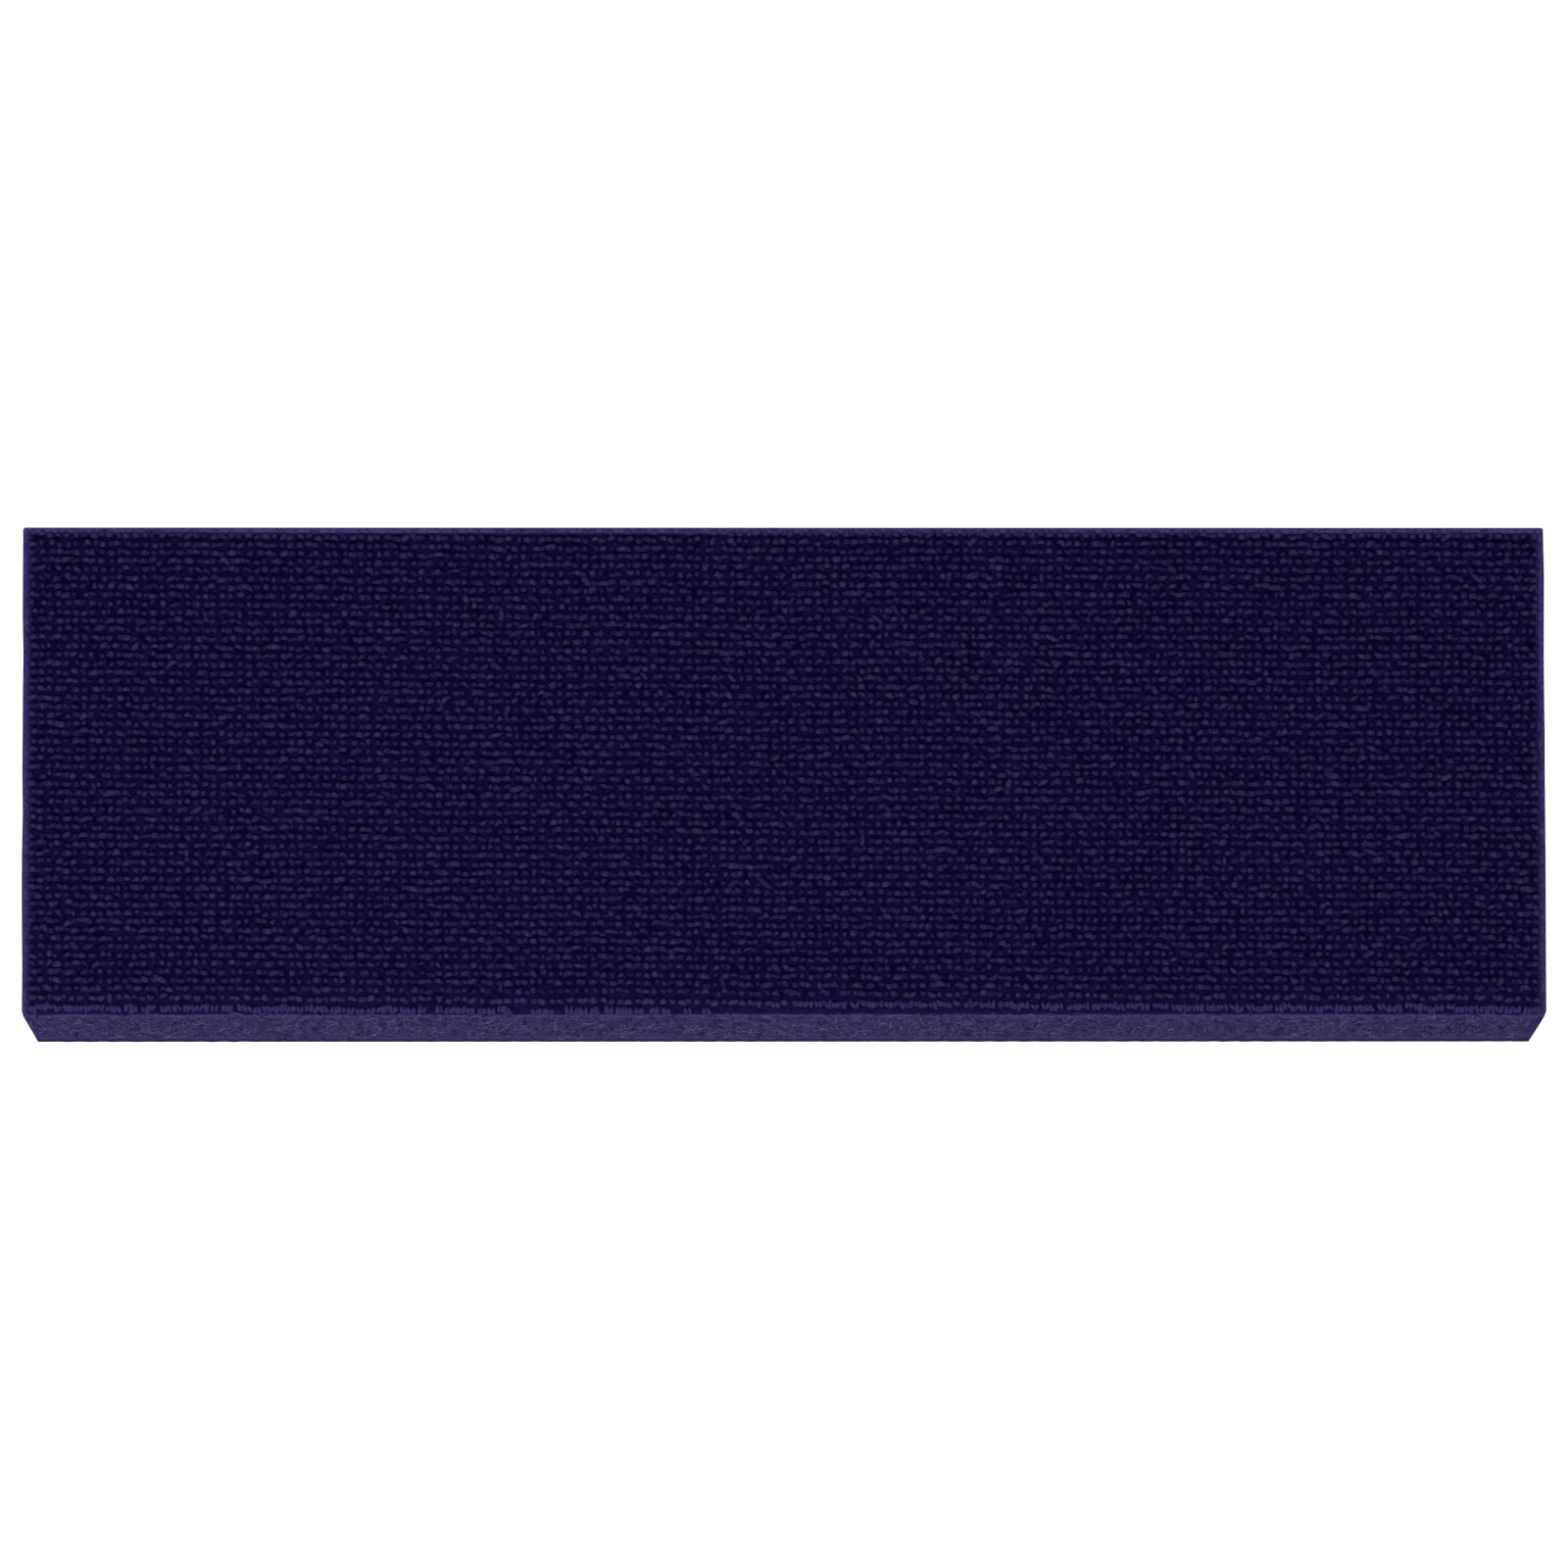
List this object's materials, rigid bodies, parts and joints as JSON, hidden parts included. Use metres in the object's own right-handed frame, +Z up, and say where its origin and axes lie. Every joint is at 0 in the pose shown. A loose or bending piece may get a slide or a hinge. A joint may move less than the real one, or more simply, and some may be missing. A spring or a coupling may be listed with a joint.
{
  "type": "anti slip stair tread mat",
  "caption": "Rectangular loop carpet mat for a stair tread, with a bare pressed rim and a front edge bent down into a nose flap with slanted ends.",
  "frame": {"origin": "middle of the mat's box at floor level", "axes": "+X along the stair's edge, +Y from the nose flap to the rear edge, +Z up; the mat rests on its flap's lower edge and its rear edge, so its tread slopes back by 5.9 degrees"},
  "size_m": [0.762, 0.2576, 0.0301],
  "materials": {
    "carpet": "navy loop pile in rows, with a paler felted rim and flap"
  },
  "bodies": {
    "root": {"tread_mat": "carpet"}
  },
  "joints": []
}
